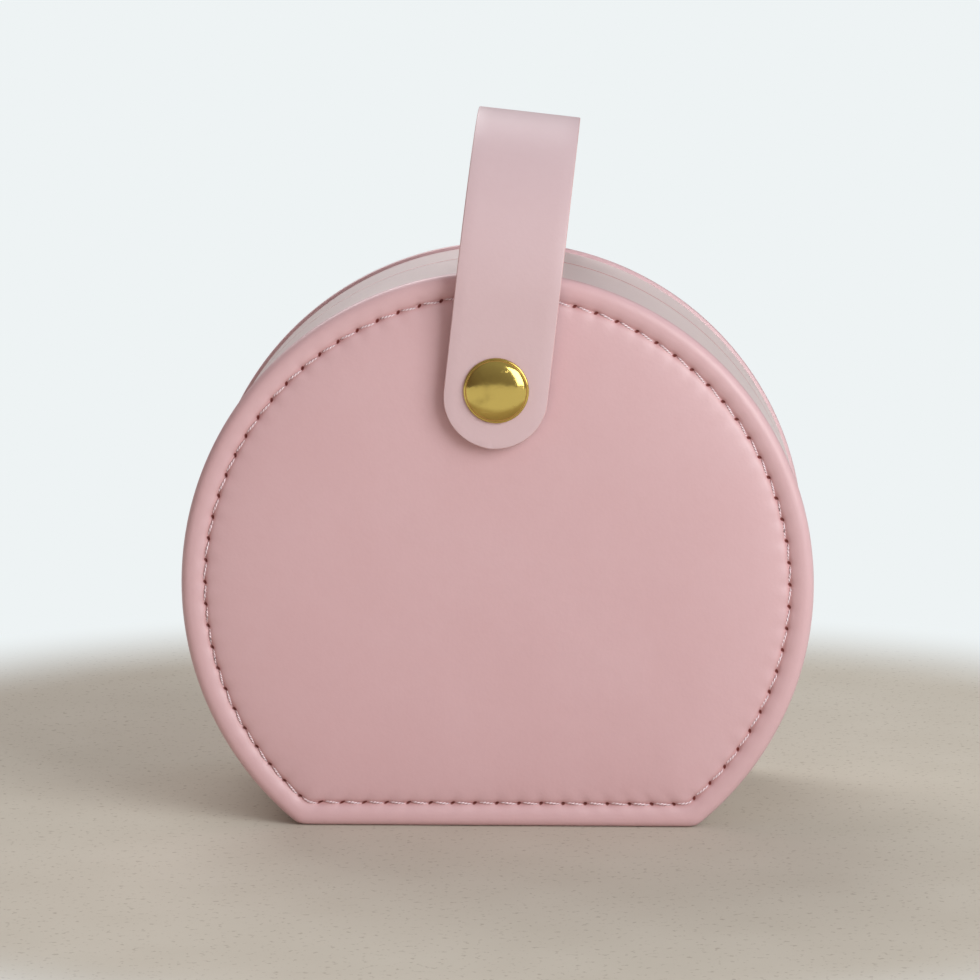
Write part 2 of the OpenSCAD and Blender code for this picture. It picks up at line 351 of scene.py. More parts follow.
def sweep(profile, angles, poles):
    """Rings that follow the outline. A profile point is (inset, lift at the base, shrink, y).

    With poles, the first and last rings close to a point. Without, the last ring meets the first.
    """
    bm = bmesh.new()
    turn = bm.verts.layers.int.new("turn")
    row = bm.verts.layers.int.new("row")
    ring = bmesh.ops.create_circle(bm, segments=len(angles), radius=1)["verts"]
    for i, vert in enumerate(ring):
        vert[turn] = i
    for number, (inset, lift, shrink, y) in enumerate(profile):
        if number:
            ring = next_ring(bm, ring)
        for vert in ring:
            x, z = outline_point(angles[vert[turn]], inset, lift, shrink)
            vert.co = x, y, z
            vert[row] = number
        if number == 0:
            first_ring = ring
    if poles:
        bmesh.ops.pointmerge(bm, verts=ring, merge_co=(0, profile[-1][3], BASE_DROP))
        bmesh.ops.pointmerge(bm, verts=first_ring, merge_co=(0, profile[0][3], BASE_DROP))
    else:
        bmesh.ops.remove_doubles(bm, verts=bm.verts, dist=SAME_PLACE)
    bmesh.ops.recalc_face_normals(bm, faces=bm.faces)
    return bm


def settle(name, bm, finish, smooth=True):
    """The finished piece as an object at the origin."""
    mesh = bpy.data.meshes.new(name)
    for face in bm.faces:
        face.smooth = smooth
    bm.to_mesh(mesh)
    bm.free()
    mesh.materials.append(finish.material)
    piece = bpy.data.objects.new(name, mesh)
    bpy.context.scene.collection.objects.link(piece)
    return piece


def leather(name, colour, deep, grain=1.0):
    """Smooth, faintly grained leather with soft changes of tone."""
    finish = Finish(name, Specular_IOR_Level=0.5, Coat_Weight=0.2, Coat_Roughness=0.45)
    tone = finish.mix(finish.noise(0.018, 3.0).band(0.3, 0.7) * 0.2, colour, deep)
    tone = finish.mix(finish.noise(0.0016, 3.0).band(0.4, 0.75) * 0.10, tone, deep)
    finish.set(Base_Color=tone, Roughness=0.38 + finish.noise(0.004, 3.0) * 0.12)
    finish.relief(
        (finish.noise(0.010, 2.0), 0.00010 * grain),
        (finish.cells(0.0007), 0.000012 * grain),
        (finish.noise(0.00035, 2.0), 0.000010 * grain),
    )
    return finish, tone


PINK, PINK_DEEP = srgb(212, 175, 179), srgb(203, 160, 163)
HOLE_SHADE, GROOVE_SHADE = srgb(112, 40, 34), srgb(186, 124, 120)

# The needle's holes are ovals in millimetres, slanted across the seam, painted dark as the shade inside them,
# and the groove is a soft line of painted shade.
HOLE_LONG, HOLE_WIDE = 0.46, 0.29
SLANT_COS, SLANT_SIN = 0.80, 0.60

cover_leather, cover_tone = leather("cover_leather", PINK, PINK_DEEP)
along, inward = cover_leather.uv()
slide = (along + 0.5).of("FRACT") - 0.5
across = inward - STITCH_IN / MM
lean_along = slide * (PITCH / MM) * SLANT_COS + across * SLANT_SIN
lean_across = across * SLANT_COS - slide * (PITCH / MM) * SLANT_SIN
# Painted shade: each needle hole is coloured dark, and the leather is darkened along the groove.
hole_shade_mask = 1 - ((lean_along / HOLE_LONG) ** 2.0 + (lean_across / HOLE_WIDE) ** 2.0).band(0.35, 1.25)
groove_shade_mask = 1 - across.of("ABSOLUTE").band(0.05, 0.9)
cover_colour = cover_leather.mix(groove_shade_mask * 0.42, cover_tone, GROOVE_SHADE)
cover_leather.set(Base_Color=cover_leather.mix(hole_shade_mask, cover_colour, HOLE_SHADE))


def smooth_bump(distance, width):
    return math.exp(-(distance / width) ** 2)


def cover_rows(pad_h):
    """(inset, shrink, height over the board) from the outer edge in to the middle."""
    rows = []
    for i in range(ROLL_ROWS + 1):
        turn = math.radians(ROLL_START + ROLL_TURN * i / ROLL_ROWS)
        rise = math.copysign(abs(math.sin(turn)) ** ROLL_FLAT, turn)
        rows.append((ROLL_W * (1 - abs(math.cos(turn)) ** ROLL_FLAT), 1.0, ROLL_LOW + ROLL_TOP * rise))
    crown = ROLL_LOW + ROLL_TOP
    for i in range(1, GROOVE_ROWS + 1):
        part = i / GROOVE_ROWS
        drop = 1 - math.cos(part * math.pi / 2) ** GROOVE_CURVE
        rows.append((ROLL_W + (STITCH_IN - ROLL_W) * part, 1.0, crown - (crown - GROOVE_H) * drop))
    for i in range(1, PAD_ROWS + 1):
        turn = math.pi / 2 * (i / PAD_ROWS) ** PAD_CURVE
        rows.append((STITCH_IN + PAD_REACH * (1 - math.cos(turn)), 1.0, GROOVE_H + pad_h * math.sin(turn)))
    for i in range(1, CROWN_ROWS):
        part = i / CROWN_ROWS
        height = GROOVE_H + pad_h + PAD_CROWN * math.sin(part * math.pi / 2)
        rows.append((STITCH_IN + PAD_REACH, 1 - part, height))
    return rows


def thread_pull(from_seam, from_hole, strength):
    """How far the leather is drawn in, beside the hole and between two holes."""
    depth, wide, long = HOLE_SINK
    sink = depth * smooth_bump(from_seam, wide) * smooth_bump(from_hole, long)
    depth, wide, long = PUCKER
    sink += depth * smooth_bump(from_seam, wide) * smooth_bump(from_hole, long) * strength
    depth, wide, long = BULGE
    sink -= depth * smooth_bump(from_seam - BULGE_IN, wide) * (1 - smooth_bump(from_hole, long)) * strength
    return sink


def make_cover(name, out, board, body, pad_h, dimple):
    rows = cover_rows(pad_h)
    profile = [(CASE_R * 0.5, CASE_R * 0.5, 0.1, board), (ROLL_W, ROLL_W, 1.0, board)]
    profile += [(inset, inset, shrink, board + out * height) for inset, shrink, height in rows]
    bm = sweep(profile, SEAM_ANGLES, poles=True)
    turn, row = bm.verts.layers.int["turn"], bm.verts.layers.int["row"]
    dice = random.Random(7)
    pull = [PULL_LEAST + PULL_RANGE * dice.random() for _ in range(STITCHES)]
    insets = [0.0, ROLL_W] + [inset + (1 - shrink) * MIDDLE_R for inset, shrink, _ in rows]
    for vert in bm.verts:
        if vert[row] < 2:
            continue
        stitch, phase = divmod(vert[turn] / PER_STITCH + 0.5, 1.0)
        from_hole = (phase - 0.5) * PITCH / MM
        from_seam = (insets[vert[row]] - STITCH_IN) / MM
        sink = thread_pull(from_seam, from_hole, pull[int(stitch) % STITCHES])
        if dimple:
            from_post = math.hypot(vert.co.x, vert.co.z - SNAP_Z) / MM
            height = (out * (vert.co.y - board) - STUD_SEAT) / MM
            sink += height / (1 + math.exp((from_post - DIMPLE_R) / DIMPLE_EDGE))
        vert.co.y -= out * sink * MM
    seam = bm.loops.layers.uv.new("seam")
    count = STITCHES * PER_STITCH
    for face in bm.faces:
        turns = [loop.vert[turn] for loop in face.loops]
        wraps = max(turns) - min(turns) > count / 2
        for loop, at in zip(face.loops, turns):
            at += count if wraps and at < count / 2 else 0
            loop[seam].uv = at / PER_STITCH, insets[loop.vert[row]] / MM
    piece = settle(name, bm, cover_leather)
    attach(piece, body)
    return piece


front_cover_piece = make_cover("front_cover_leather", -1, FRONT_BOARD, "front_half", FRONT_PAD_H, dimple=True)
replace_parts(front_cover_piece, "front_cover", "front_pad")
rear_cover_piece = make_cover("rear_cover_leather", 1, REAR_BOARD, "rear_half", REAR_PAD_H, dimple=False)
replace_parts(rear_cover_piece, "rear_cover", "rear_pad")


# ---------------------------------------------------------------- Stitches
# Pale two-ply thread, one stitch from each needle hole to the next, pulled tight so that its ends
# sink into the holes and its middle stands proud.

THREAD_R, THREAD_END = 0.20 * MM, 0.62      # the ends are drawn thinner
THREAD_RISE, THREAD_SINK = 0.36 * MM, 0.16 * MM
THREAD_START, THREAD_SPAN = 0.10, 0.74      # shares of the pitch
THREAD_INSET, THREAD_SLANT, THREAD_WANDER = 0.26, 0.42, 0.07
THREAD_SIDES, THREAD_RINGS = 8, 9
PLIES, PLY_TURNS = 2.0, 5.0
THREAD_PLY_SHADE, THREAD_PALE = srgb(206, 168, 176), srgb(246, 232, 236)

thread = Finish("thread", Roughness=0.42, Sheen_Weight=0.3)
length_at, round_at = thread.uv()
ply = ((length_at * PLY_TURNS + round_at * PLIES) * math.tau).of("SINE") * 0.5 + 0.5
# The darker turns between the two plies are painted shade; the pale ones are the thread's own colour.
thread.set(Base_Color=thread.mix(ply, THREAD_PLY_SHADE, THREAD_PALE))
thread.relief((ply, 0.00009))


def stitch_spine(stitch, wander, out, board):
    """The middle line of one stitch, slanted across the groove and arched over the leather."""
    spine = []
    for number in range(THREAD_RINGS):
        part = number / (THREAD_RINGS - 1)
        along_seam = (stitch + THREAD_START + THREAD_SPAN * part) * PER_STITCH
        low = int(along_seam) % len(SEAM_ANGLES)
        high = (low + 1) % len(SEAM_ANGLES)
        share = along_seam - int(along_seam)
        inset = STITCH_IN + (THREAD_INSET - THREAD_SLANT * part + wander) * MM
        first = Vector(outline_point(SEAM_ANGLES[low], inset, inset))
        second = Vector(outline_point(SEAM_ANGLES[high], inset, inset))
        x, z = first.lerp(second, share)
        rise = THREAD_RISE * math.sin(math.pi * part) ** 0.6 - THREAD_SINK
        spine.append(Vector((x, board + out * (GROOVE_H + rise), z)))
    return spine


def make_stitching(name, out, board, body):
    bm = bmesh.new()
    around = bm.loops.layers.uv.new("ply")
    dice = random.Random(11)
    for stitch in range(STITCHES):
        spine = stitch_spine(stitch, dice.uniform(-THREAD_WANDER, THREAD_WANDER), out, board)
        rings = [bmesh.ops.create_circle(bm, segments=THREAD_SIDES, radius=1)["verts"]]
        for _ in range(THREAD_RINGS - 1):
            rings.append(next_ring(bm, rings[-1]))
        for number, verts in enumerate(rings):
            ahead = spine[min(number + 1, THREAD_RINGS - 1)] - spine[max(number - 1, 0)]
            turn = ahead.to_track_quat("Z", "Y").to_matrix()
            arch = math.sin(math.pi * number / (THREAD_RINGS - 1))
            thick = THREAD_R * (THREAD_END + (1 - THREAD_END) * arch)
            for i, vert in enumerate(verts):
                angle = math.tau * i / THREAD_SIDES
                vert.co = spine[number] + turn @ Vector((math.cos(angle), math.sin(angle), 0)) * thick
        for verts in (rings[0], rings[-1]):
            bmesh.ops.contextual_create(bm, geom=list(ring_edges(verts)))
        place_in_ring = {vert: (n, i) for n, verts in enumerate(rings) for i, vert in enumerate(verts)}
        for face in {face for verts in rings for vert in verts for face in vert.link_faces}:
            spots = [place_in_ring[loop.vert] for loop in face.loops]
            wraps = {spot[1] for spot in spots} >= {0, THREAD_SIDES - 1}
            for loop, (n, i) in zip(face.loops, spots):
                i += THREAD_SIDES if wraps and i == 0 else 0
                loop[around].uv = n / (THREAD_RINGS - 1), i / THREAD_SIDES
    bmesh.ops.recalc_face_normals(bm, faces=bm.faces)
    piece = settle(name, bm, thread)
    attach(piece, body)
    return piece


make_stitching("front_stitching", -1, FRONT_BOARD, "front_half")
make_stitching("rear_stitching", 1, REAR_BOARD, "rear_half")


# ---------------------------------------------------------------- Side bands
# Leather glued round each board shell. It tucks under the cover's rolled edge, turns over the rim at
# the parting line and stops under the lining. A recess in the base takes the hinge strip.

BAND_PINK, BAND_DEEP, RIM_LINE = srgb(224, 206, 204), srgb(214, 192, 191), srgb(176, 100, 102)
RIM_DARK, RIM_CLEAR = 0.25 * MM, 0.75 * MM      # from the parting line, where the rim's shade fades
BAND_IN, RIM_IN, BAND_BACK = 0.6 * MM, 2.9 * MM, 1.5 * MM
RIM_ROUND, RIM_TUCK, RIM_BREAK = 0.55 * MM, 2.0 * MM, 0.3 * MM
COVER_TUCK, COVER_CLEAR = 0.25 * MM, 0.5 * MM   # the band's edge under the cover, and out of it
PART_Y = (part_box("front_band")[1][1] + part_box("rear_band")[0][1]) / 2
RIM_GAP = 0.07 * MM
STRIP_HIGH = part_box("hinge_strip")[1]
RECESS_PLAY, RECESS_H, RECESS_STEP = 0.1 * MM, 0.8 * MM, 0.05 * MM
RECESS_X, RECESS_Y = STRIP_HIGH[0] + RECESS_PLAY, STRIP_HIGH[1] - PART_Y + RECESS_PLAY
BAND_ANGLES, _ = even_angles(360, BAND_IN)

band_leather, band_tone = leather("band_leather", BAND_PINK, BAND_DEEP, grain=0.8)
from_rim = (band_leather.coordinate("Y") - PART_Y).of("ABSOLUTE")
rim_shade = 1 - from_rim.band(RIM_DARK, RIM_CLEAR)
band_leather.set(Base_Color=band_leather.mix(rim_shade, band_tone, RIM_LINE))


def layered(points):
    """Profile points for a layer of the sides, whose base lies nearer the surface than its round."""
    return [(inset, inset - BAND_IN, 1.0, y) for inset, y in points]


def quarter_turn(steps):
    return [math.pi / 2 * i / steps for i in range(steps + 1)]


def round_corner(inset, y, radius, into):
    """(inset, y) points round a corner, from the side at inset to the face at y."""
    return [(inset + radius * (1 - math.cos(turn)), y + into * radius * (1 - math.sin(turn)))
            for turn in quarter_turn(6)]


def make_band(name, out, board, body):
    rim = PART_Y + out * RIM_GAP
    start = board + out * COVER_TUCK
    recess = rim + out * RECESS_Y
    outer = [start, board - out * COVER_CLEAR]
    outer += [outer[-1] + (recess - outer[-1]) * part for part in (0.25, 0.5, 0.75, 0.98)]
    outer += [recess, recess - out * RECESS_STEP]
    outer += [recess + (rim + out * RIM_ROUND - recess) * part for part in (0.25, 0.5, 0.75, 0.95)]
    points = [(BAND_IN, y) for y in outer] + round_corner(BAND_IN, rim, RIM_ROUND, out)
    points += [(RIM_IN - RIM_BREAK, rim), (RIM_IN, rim + out * RIM_BREAK), (RIM_IN, rim + out * RIM_TUCK)]
    points += [(BAND_BACK, rim + out * RIM_TUCK), (BAND_BACK, start), points[0]]
    bm = sweep(layered(points), BAND_ANGLES, poles=False)
    for vert in bm.verts:
        if vert.co.z < RECESS_H and abs(vert.co.x) < RECESS_X and abs(vert.co.y - PART_Y) < RECESS_Y:
            vert.co.z = max(vert.co.z, RECESS_H)
    piece = settle(name, bm, band_leather)
    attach(piece, body)
    return piece


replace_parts(make_band("front_band_leather", -1, FRONT_BOARD, "front_half"), "front_band")
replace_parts(make_band("rear_band_leather", 1, REAR_BOARD, "rear_half"), "rear_band")


# ---------------------------------------------------------------- Board shells
# Stiff grey board, bent round and glued to a flat face, one shell to each half. The leather and the
# lining are glued over it, so nothing of it shows on a whole case.

BOARD_DARK, BOARD_PALE = srgb(150, 141, 130), srgb(172, 163, 151)

grey_board = Finish("grey_board", Roughness=0.9)
grey_board.set(Base_Color=grey_board.mix(grey_board.noise(0.0012, 4.0), BOARD_DARK, BOARD_PALE))
grey_board.relief((grey_board.noise(0.0004), 0.00003))


def dress(finish, *names):
    """Gives CAD nodes a finish of their own."""
    for name in names:
        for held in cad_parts[name].material_slots:
            held.material = finish.material


dress(grey_board, "front_shell", "rear_shell")


# ---------------------------------------------------------------- Velvet lining
# Short-pile velvet glued into both halves. It covers the shells' walls and floors, with soft
# corners where they meet, and turns over the rim to meet the band.

VELVET, VELVET_DEEP, PILE_SHADE = srgb(226, 190, 188), srgb(196, 152, 152), srgb(170, 124, 126)
WALL_IN, ROOM_IN = 3.0 * MM, 3.8 * MM
FLOOR_T, FLOOR_ROUND = 0.8 * MM, 1.6 * MM
LINING_GAP, LINING_BREAK = 0.12 * MM, 0.3 * MM
LINING_SOFT = 0.25 * MM


def velvet_finish(name):
    finish = Finish(name, Roughness=0.95, Sheen_Weight=0.55, Sheen_Roughness=0.4, Specular_IOR_Level=0.2)
    nap = finish.noise(0.009, 4.0, 0.6, squeeze=(1.0, 1.0, 0.6)).band(0.35, 0.68)
    pile = finish.noise(0.00035, 3.0)
    tone = finish.mix(nap * 0.55, VELVET, VELVET_DEEP)
    finish.set(Base_Color=finish.mix(pile * 0.30, tone, PILE_SHADE))
    finish.relief((finish.noise(0.004, 3.0), 0.00012), (pile, 0.00006))
    return finish


velvet = velvet_finish("velvet")


def make_lining(name, out, body, node):
    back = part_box(node)[0][1] if out < 0 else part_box(node)[1][1]
    rim, floor = PART_Y + out * LINING_GAP, back - out * FLOOR_T
    under_rim = rim + out * LINING_BREAK
    points = [(WALL_IN, back), (WALL_IN, back - out * 2 * MM), (WALL_IN, under_rim)]
    points += [(WALL_IN + LINING_SOFT, rim), (ROOM_IN - LINING_SOFT, rim), (ROOM_IN, under_rim)]
    points += [(ROOM_IN, rim + (floor - rim) * part) for part in (0.3, 0.6)]
    points += round_corner(ROOM_IN, floor, FLOOR_ROUND, -out)
    profile = [(WALL_IN, WALL_IN - BAND_IN, 0.05, back)] + layered(points)
    last = profile[-1]
    profile += [(last[0], last[1], 1 - part / 12, floor) for part in range(1, 12)]
    piece = settle(name, sweep(profile, BAND_ANGLES, poles=True), velvet)
    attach(piece, body)
    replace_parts(piece, node)


make_lining("front_velvet", -1, "front_half", "front_lining")
make_lining("rear_velvet", 1, "rear_half", "rear_lining")


# ---------------------------------------------------------------- Ring rolls
# Foam bars covered in velvet and glued side by side across the tray, so that rings stand in the
# slits between them.

ROLL_SQUARE, ROLL_END = 2.6, 9.0                    # higher is squarer, across the bar and at its ends
ROLL_SINK, ROLL_SWELL = 0.5 * MM, 0.05 * MM


def padded_bar(low, high, square, end):
    """A rounded bar along X that fills the box from low to high."""
    bm = bmesh.new()
    bmesh.ops.create_cube(bm, size=2)
    bmesh.ops.subdivide_edges(bm, edges=bm.edges, cuts=14, use_grid_fill=True)
    long_edges = [edge for edge in bm.edges if abs(edge.verts[0].co.x - edge.verts[1].co.x) > 0.01]
    bmesh.ops.subdivide_edges(bm, edges=long_edges, cuts=2, use_grid_fill=True)
    middle, half = (Vector(low) + Vector(high)) / 2, (Vector(high) - Vector(low)) / 2
    for vert in bm.verts:
        x, y, z = vert.co
        side = (abs(y) ** square + abs(z) ** square) ** (1 / square) or 1
        widest = max(abs(y), abs(z))
        y, z = y * widest / side, z * widest / side
        round_off = (abs(x) ** end + widest ** end) ** (1 / end) or 1
        most = max(abs(x), widest)
        x, y, z = x * most / round_off, y * most / round_off, z * most / round_off
        vert.co = middle + Vector((x * half.x, y * half.y, z * half.z))
    bmesh.ops.recalc_face_normals(bm, faces=bm.faces)
    return bm


for number in range(1, 5):
    node = f"ring_roll_{number}"
    low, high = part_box(node)
    low = Vector(low) - Vector((0, ROLL_SINK, ROLL_SWELL))
    high = Vector(high) + Vector((0, 0, ROLL_SWELL))
    ring_roll = settle(f"ring_roll_velvet_{number}", padded_bar(low, high, ROLL_SQUARE, ROLL_END), velvet)
    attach(ring_roll, "front_half")
    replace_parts(ring_roll, node)


# ---------------------------------------------------------------- Dividers
# Thin board wrapped in velvet, with soft edges where the velvet folds over. The dividers stand on
# the floor of the tray, glued along their feet.

DIVIDER_EDGE = 0.6 * MM


def bevelled_block(low, high, edge, segments):
    """The box from low to high, with all its edges bevelled."""
    bm = bmesh.new()
    bmesh.ops.create_cube(bm, size=1)
    bmesh.ops.scale(bm, vec=high - low, verts=bm.verts)
    bmesh.ops.bevel(bm, geom=bm.edges[:], offset=edge, segments=segments, profile=0.5,
                    affect="EDGES", material=-1)
    bmesh.ops.translate(bm, vec=(low + high) / 2, verts=bm.verts)
    return bm


for node in ("divider_cross", "divider_left", "divider_right", "divider_low"):
    low, high = (Vector(corner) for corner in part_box(node))
    divider = settle(node + "_velvet", bevelled_block(low, high, DIVIDER_EDGE, 4), velvet)
    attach(divider, "front_half")
    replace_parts(divider, node)


# ---------------------------------------------------------------- Mirror
# Silvered glass with a ground edge, glued to the floor of the rear half. A ring of foam covered in
# velvet is glued round it and hides its edge.

MIRROR_IN, FRAME_IN = 12.05 * MM, 8.0 * MM
GROUND = 0.45 * MM
FRAME_SQUARE, FRAME_STEPS = 0.7, 24                 # lower than 1 is squarer than an ellipse
MIRROR_FRONT, MIRROR_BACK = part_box("mirror_glass")[0][1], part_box("mirror_glass")[1][1]
FRAME_FRONT, FRAME_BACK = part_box("mirror_frame")[0][1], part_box("mirror_frame")[1][1]
SILVER_DULL, SILVER_BRIGHT = srgb(226, 230, 232), srgb(236, 240, 241)

silver = Finish("mirror_silver", Metallic=1.0, IOR=1.5)
silver.set(Base_Color=silver.mix(silver.noise(0.03, 2.0), SILVER_DULL, SILVER_BRIGHT),
           Roughness=0.02 + silver.noise(0.006, 4.0).band(0.55, 0.9) * 0.05)

glass_profile = [(MIRROR_IN, MIRROR_IN, 0.1, MIRROR_BACK), (MIRROR_IN, MIRROR_IN, 1.0, MIRROR_BACK)]
glass_profile += [(MIRROR_IN, MIRROR_IN, 1.0, MIRROR_FRONT + GROUND)]
glass_profile += [(MIRROR_IN + GROUND, MIRROR_IN + GROUND, 1.0, MIRROR_FRONT)]
glass_profile += [(MIRROR_IN + GROUND, MIRROR_IN + GROUND, 0.1, MIRROR_FRONT)]
mirror = settle("mirror_plate", sweep(glass_profile, BAND_ANGLES, poles=True), silver, smooth=False)
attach(mirror, "rear_half")
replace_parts(mirror, "mirror_glass")

frame_mid, frame_half = (MIRROR_IN + FRAME_IN) / 2, (MIRROR_IN - FRAME_IN) / 2
frame_y, frame_rise = (FRAME_FRONT + FRAME_BACK) / 2, (FRAME_BACK - FRAME_FRONT) / 2
frame_profile = []
for i in range(FRAME_STEPS + 1):
    turn = math.tau * i / FRAME_STEPS
    side, rise = (math.copysign(abs(share) ** FRAME_SQUARE, share)
                  for share in (math.cos(turn), math.sin(turn)))
    inset = frame_mid + frame_half * side
    frame_profile.append((inset, inset, 1.0, frame_y - frame_rise * rise))
mirror_ring = settle("mirror_frame_velvet", sweep(frame_profile, BAND_ANGLES, poles=False), velvet)
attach(mirror_ring, "rear_half")
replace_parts(mirror_ring, "mirror_frame")


# ---------------------------------------------------------------- Hinge strips
# One strip of band leather let into the base across the parting line, and one of velvet over the linings
# inside. On the case both are glued to the two halves and bend between them; here each is only cut across
# many times about the parting line and stays where it is built.

FOLD, FOLD_CUTS = 3.0 * MM, 20                      # each way from the parting line
FOLD_ROOM = 1.25                                    # the cuts reach a little past the fold


def cut_across(bm, point, normal):
    whole = bm.verts[:] + bm.edges[:] + bm.faces[:]
    bmesh.ops.bisect_plane(bm, geom=whole, plane_co=point, plane_no=normal)


def make_strip(name, node, finish, edge):
    low, high = (Vector(corner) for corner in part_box(node))
    bm = bevelled_block(low, high, edge, 2)
    for i in range(-FOLD_CUTS, FOLD_CUTS + 1):
        cut_across(bm, (0, PART_Y + FOLD * FOLD_ROOM * i / FOLD_CUTS, 0), (0, 1, 0))
    piece = settle(name, bm, finish, smooth=False)
    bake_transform(piece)
    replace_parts(piece, node)


make_strip("hinge_leather", "hinge_strip", band_leather, 0.15 * MM)
make_strip("hinge_velvet", "hinge_lining", velvet, 0.12 * MM)


# ---------------------------------------------------------------- Strap
# One flat strap of the same leather with plain cut edges and two round ends. It is riveted to the
# back, stands up over the top as a handle, leans a little to the right and snaps on the front.

STRAP_W, STRAP_T, STRAP_EDGE = 18.0 * MM, 1.7 * MM, 0.22 * MM
LEAN = math.radians(6.4)
STRAP_PINK, STRAP_DEEP = srgb(210, 183, 187), srgb(202, 171, 175)
FIBRE_DARK, FIBRE_PALE = srgb(190, 144, 144), srgb(220, 188, 188)
TIP_BELOW_SNAP = STRAP_W / 2 + 1.2 * MM
ANCHOR_LOW, ANCHOR_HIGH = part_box("strap_anchor")
FLAP_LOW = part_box("strap_front")[0]
REAR_LEG_Y = (ANCHOR_LOW[1] + ANCHOR_HIGH[1]) / 2
FRONT_LEG_Y = FLAP_LOW[1] + STRAP_T / 2
TURN_R = (REAR_LEG_Y - FRONT_LEG_Y) / 2
TURN_Y = (REAR_LEG_Y + FRONT_LEG_Y) / 2
STRAP_RISE = 45.8 * MM
TURN_Z = SNAP_Z + STRAP_RISE - STRAP_T / 2 - TURN_R
LEG = TURN_Z - SNAP_Z + TIP_BELOW_SNAP
OVER = math.pi * TURN_R
STRAP_LENGTH = 2 * LEG + OVER
BEND_Z = SNAP_Z + 7.7 * MM
JOIN_SHARE = 0.35                                   # of the rear leg, down to where two pieces join
JOIN = LEG + OVER + (TURN_Z - BEND_Z) * JOIN_SHARE
STRAP_STEP, TIP_STEPS, WIDTH_CUTS = 1.5 * MM, 32, 4
ON_LINE = 1e-6

strap_leather, _ = leather("strap_leather", STRAP_PINK, STRAP_DEEP, grain=0.9)
raw_edge = Finish("strap_cut_edge", Roughness=0.75)
fibres = raw_edge.noise(0.0005, 4.0)
raw_edge.set(Base_Color=raw_edge.mix(fibres, FIBRE_DARK, FIBRE_PALE))
raw_edge.relief((fibres, 0.00005))


def on_strap(across, along, out):
    """A point of the flat strap, bent over the case: along runs from the front tip to the rear one."""
    if along <= LEG:
        y, z, normal = FRONT_LEG_Y, TURN_Z - LEG + along, (-1, 0)
    elif along <= LEG + OVER:
        turn = (along - LEG) / TURN_R
        y, z = TURN_Y - TURN_R * math.cos(turn), TURN_Z + TURN_R * math.sin(turn)
        normal = (-math.cos(turn), math.sin(turn))
    else:
        y, z, normal = REAR_LEG_Y, TURN_Z - (along - LEG - OVER), (1, 0)
    y, z = y + normal[0] * out, z + normal[1] * out - SNAP_Z
    return Vector((across * math.cos(LEAN) + z * math.sin(LEAN), y,
                   SNAP_Z - across * math.sin(LEAN) + z * math.cos(LEAN)))


def make_strap(name, start, stop):
    """The stretch of the strap from start to stop, with a round end where it reaches a tip."""
    bm = bmesh.new()
    half = STRAP_W / 2
    outline = []
    for end, sign in ((start, 1), (stop, -1)):
        tip = end in (0, STRAP_LENGTH)
        steps = TIP_STEPS if tip else 1
        for i in range(steps + 1):
            turn = math.pi * i / steps
            across = half * math.cos(turn) * sign
            along = end + sign * (half - half * math.sin(turn)) if tip else end
            outline.append(bm.verts.new((across, along, -STRAP_T / 2)))
    face = bm.faces.new(outline)
    grown = bmesh.ops.extrude_face_region(bm, geom=[face])["geom"]
    raised = [part for part in grown if isinstance(part, bmesh.types.BMVert)]
    bmesh.ops.translate(bm, vec=(0, 0, STRAP_T), verts=raised)
    bmesh.ops.recalc_face_normals(bm, faces=bm.faces)

    def at_join(edge):
        return any(all(abs(vert.co.y - end) < ON_LINE for vert in edge.verts)
                   for end in {start, stop} - {0, STRAP_LENGTH})

    rim = [edge for edge in bm.edges
           if abs(edge.verts[0].co.z - edge.verts[1].co.z) < ON_LINE and not at_join(edge)]
    bmesh.ops.bevel(bm, geom=rim, offset=STRAP_EDGE, segments=3, profile=0.5, affect="EDGES", material=-1)
    steps = int((stop - start) / STRAP_STEP)
    for i in range(1, steps):
        cut_across(bm, (0, start + (stop - start) * i / steps, 0), (0, 1, 0))
    for i in range(1 - WIDTH_CUTS, WIDTH_CUTS):
        cut_across(bm, (i * half / WIDTH_CUTS, 0, 0), (1, 0, 0))
    bm.normal_update()
    for face in bm.faces:
        face.material_index = 0 if abs(face.normal.z) > 0.8 else 1
    for edge in bm.edges:
        edge.smooth = not at_join(edge)
    for vert in bm.verts:
        vert.co = on_strap(*vert.co)
    bmesh.ops.recalc_face_normals(bm, faces=bm.faces)
    piece = settle(name, bm, strap_leather)
    piece.data.materials.append(raw_edge.material)
    return piece


crest_x = (TURN_Z + TURN_R - SNAP_Z) * math.sin(LEAN)
strap_over = make_strap("strap_over_the_top", 0, JOIN)
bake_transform(strap_over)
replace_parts(strap_over, "strap_front")
strap_end = make_strap("strap_riveted_end", JOIN, STRAP_LENGTH)
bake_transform(strap_end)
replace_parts(strap_end, "strap_anchor", "strap_rear")


# ---------------------------------------------------------------- Snap and rivet
# Pressed brass, polished: the snap's domed cap on the strap, its socket behind the strap, its stud on
# the front cover, and a smaller rivet cap that holds the strap's rear end.

GOLD, GOLD_REFLECTION_DARK = srgb(204, 174, 94), srgb(104, 78, 34)
CAP_RIM, CAP_STEEP, CAP_SINK = 0.28 * MM, 0.8, 0.1 * MM
RIM_WIDER = 1.1                                     # the dome meets the rim just inside its top
SPIN_STEPS, DOME_STEPS, ROLL_STEPS = 96, 18, 10
RIM_FROM, RIM_SWEEP = 110, 200                      # degrees round the rim's own middle

gold = Finish("polished_brass", Metallic=1.0)
haze = gold.noise(0.0048, 3.0)
scratch = gold.noise(0.0010, 4.0, 0.7, squeeze=(0.35, 1.0, 1.6)).band(0.62, 0.74)
# Darker patches, laid at random by the haze, are painted dark reflection in the brass's colour.
gold.set(Base_Color=gold.mix(haze.band(0.45, 0.80) * 0.6, GOLD, GOLD_REFLECTION_DARK),
         Roughness=0.13 + haze.band(0.35, 0.8) * 0.10 + scratch * 0.10)
gold.relief((haze, 0.00009), (scratch, 0.000015))


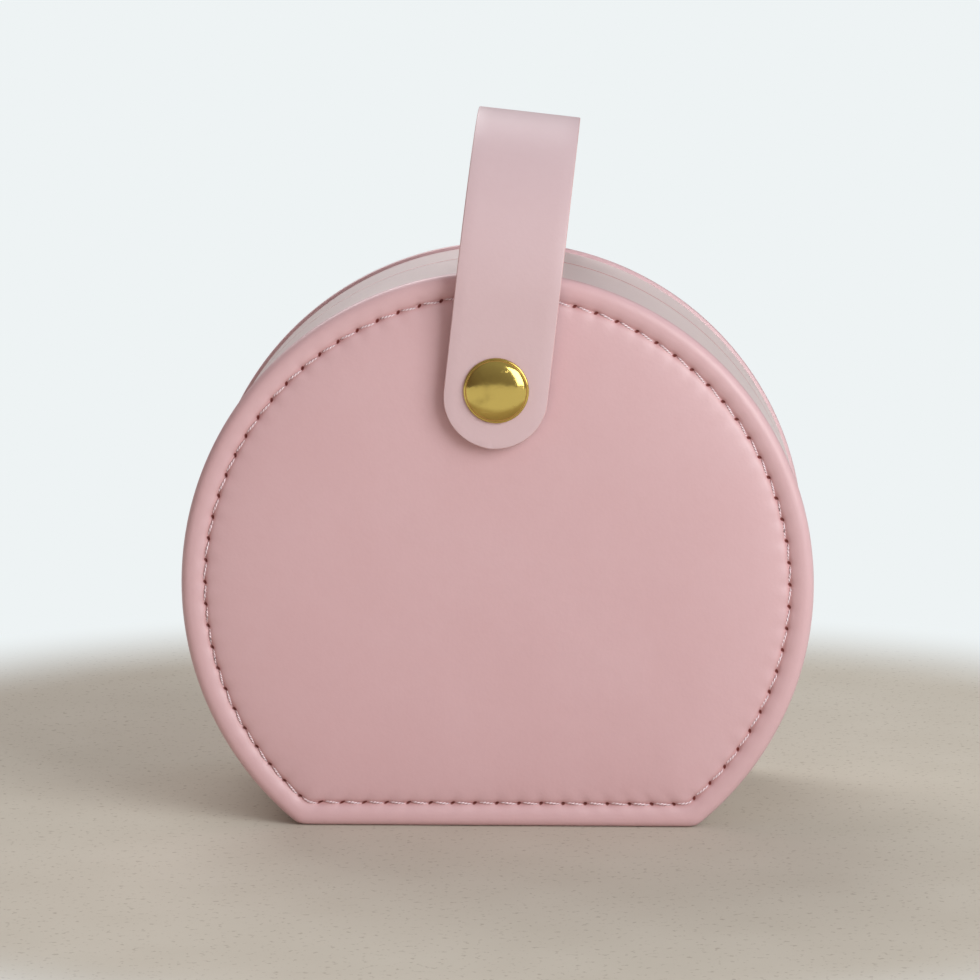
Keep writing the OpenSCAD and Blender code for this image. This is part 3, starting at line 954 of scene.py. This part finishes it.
def turned(name, post_y, out, profile, body):
    """Turns a profile of (radius, height) pairs about the line through the snap and the rivet."""
    bm = bmesh.new()
    verts = [bm.verts.new((radius, post_y + out * height, SNAP_Z)) for radius, height in profile]
    edges = [bm.edges.new(pair) for pair in zip(verts, verts[1:])]
    bmesh.ops.spin(bm, geom=verts + edges, cent=(0, post_y, SNAP_Z), axis=(0, 1, 0), dvec=(0, 0, 0),
                   angle=math.tau, steps=SPIN_STEPS, use_merge=True)
    bmesh.ops.remove_doubles(bm, verts=bm.verts, dist=SAME_PLACE)
    bmesh.ops.recalc_face_normals(bm, faces=bm.faces)
    piece = settle(name, bm, gold)
    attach(piece, body)
    return piece


def cap_profile(radius, rise, rim):
    """A shallow dome that drops steeply to a thin rolled rim on the leather."""
    inner, foot = radius - RIM_WIDER * rim, rim * RIM_WIDER
    dome = [(inner * math.sin(turn), foot + (rise - foot) * math.cos(turn) ** CAP_STEEP)
            for turn in quarter_turn(DOME_STEPS)]
    roll = [(radius - rim + rim * math.cos(turn), rim + rim * math.sin(turn))
            for turn in (math.radians(RIM_FROM - RIM_SWEEP * i / ROLL_STEPS) for i in range(ROLL_STEPS + 1))]
    return dome + roll + [(radius - rim, -CAP_SINK), (0, -CAP_SINK)]


cap_low, cap_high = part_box("snap_cap")
strap_face = FRONT_LEG_Y - STRAP_T / 2
snap_shape = cap_profile((cap_high[0] - cap_low[0]) / 2, strap_face - cap_low[1], CAP_RIM)
snap_cap = turned("snap_cap_brass", strap_face, -1, snap_shape, "strap_flap")
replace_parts(snap_cap, "snap_cap")

rivet_low, rivet_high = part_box("rivet_cap")
strap_back_face = REAR_LEG_Y + STRAP_T / 2
rivet_shape = cap_profile((rivet_high[0] - rivet_low[0]) / 2, rivet_high[1] - strap_back_face, CAP_RIM)
rivet_cap = turned("rivet_cap_brass", strap_back_face, 1, rivet_shape, "rear_half")
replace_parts(rivet_cap, "rivet_cap")
dress(gold, "snap_socket", "snap_stud", "stud_burr", "rivet_burr")
